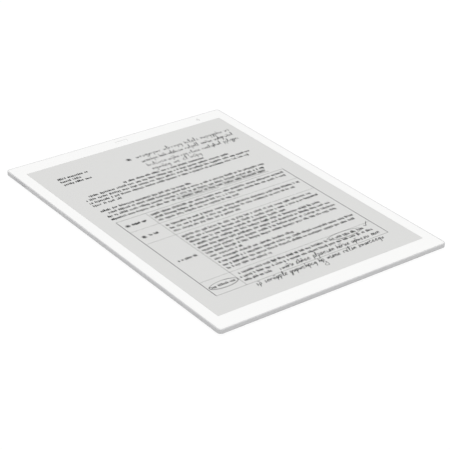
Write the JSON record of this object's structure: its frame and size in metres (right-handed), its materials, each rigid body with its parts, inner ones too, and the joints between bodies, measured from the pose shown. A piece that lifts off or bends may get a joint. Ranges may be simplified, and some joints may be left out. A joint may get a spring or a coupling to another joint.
{
  "type": "e-reader",
  "caption": "Thin page-sized e-reader with a white-faced two-shell case, matt e-paper screen, home and power buttons.",
  "frame": {"origin": "centre of the flat back, on the surface the reader lies on", "axes": "+X to the right-hand edge, +Y to the top edge of the page, +Z out of the screen"},
  "size_m": [0.224, 0.3026, 0.0059],
  "materials": {
    "case_white": "fine matt texture",
    "case_grey": "fine matt texture",
    "button_white": "satin",
    "screen_film": "matt anti-glare",
    "epaper": "paper-like",
    "clear_layer": "clear film",
    "backplane": "amber substrate",
    "gasket_grey": "soft",
    "tape_black": "adhesive tape",
    "flex_amber": "polyimide",
    "plate_metal": "satin",
    "screw_steel": "zinc plated",
    "board_green": "solder mask",
    "insulator_film": "matt film",
    "shield_metal": "tin plated",
    "pad_grey": "soft",
    "chip_black": "moulded",
    "driver_silicon": "polished silicon",
    "ferrite_grey": "sintered",
    "capacitor_tan": "ceramic",
    "crystal_can": "satin",
    "socket_cream": "moulded",
    "battery_pouch": "crimped foil",
    "socket_steel": "satin",
    "tongue_black": "moulded",
    "contact_gold": "gold plated",
    "switch_body": "moulded",
    "lamp_lens": "clear",
    "light_pipe_clear": "clear",
    "aerial_copper": "bare copper",
    "lead_jacket": "smooth",
    "dock_steel": "satin",
    "foam_black": "open foam"
  },
  "bodies": {
    "housing": {"front_bezel": "case_white", "back_cover": "case_grey", "front_film": "screen_film", "panel_gasket": "gasket_grey", "touch_sensor": "clear_layer", "optical_adhesive": "clear_layer", "epaper_film": "epaper", "tft_backplane": "backplane", "driver_chips": "driver_silicon", "panel_tape": "tape_black", "display_flex": "flex_amber", "touch_flex": "flex_amber", "support_plate": "plate_metal", "frame_screws": "screw_steel", "main_board": "board_green", "board_screws": "screw_steel", "board_insulator": "insulator_film", "processor_shield": "shield_metal", "radio_shield": "shield_metal", "thermal_pad": "pad_grey", "power_inductors": "ferrite_grey", "small_capacitors": "capacitor_tan", "display_connector": "socket_cream", "touch_connector": "socket_cream", "home_connector": "socket_cream", "battery_connector": "socket_cream", "battery_cell": "battery_pouch", "battery_tape": "tape_black", "battery_board": "board_green", "battery_lead": "flex_amber", "usb_shell": "socket_steel", "usb_tongue": "tongue_black", "usb_contacts": "contact_gold", "power_switch": "switch_body", "lamp": "lamp_lens", "light_pipe": "light_pipe_clear", "home_switch": "switch_body", "home_switch_flex": "flex_amber", "wireless_aerial": "aerial_copper", "aerial_socket": "contact_gold", "aerial_lead": "lead_jacket", "tap_aerial": "aerial_copper", "dock_strip_left": "dock_steel", "dock_strip_right": "dock_steel", "foam_pads": "foam_black", "application_processor": "chip_black", "memory_chip": "chip_black", "flash_storage": "chip_black", "power_management_chip": "chip_black", "touch_controller_chip": "chip_black", "wireless_module": "chip_black", "screen_power_chip": "chip_black", "tap_reader_chip": "chip_black", "clock_crystal": "crystal_can"},
    "home_button": {"home_button_cap": "button_white", "home_switch_plunger": "switch_body"},
    "power_button": {"power_button_cap": "case_grey", "power_switch_plunger": "switch_body"}
  },
  "joints": [
    {"name": "home_button_press", "type": "slide", "parent": "housing", "child": "home_button", "axis": [0, 0, -1], "range_m": [0, 0.00025], "stiffness_N_per_m": 3200, "springref_m": -0.0001},
    {"name": "power_button_press", "type": "slide", "parent": "housing", "child": "power_button", "axis": [0, -1, 0], "range_m": [0, 0.0003], "stiffness_N_per_m": 3200, "springref_m": -0.0001}
  ]
}
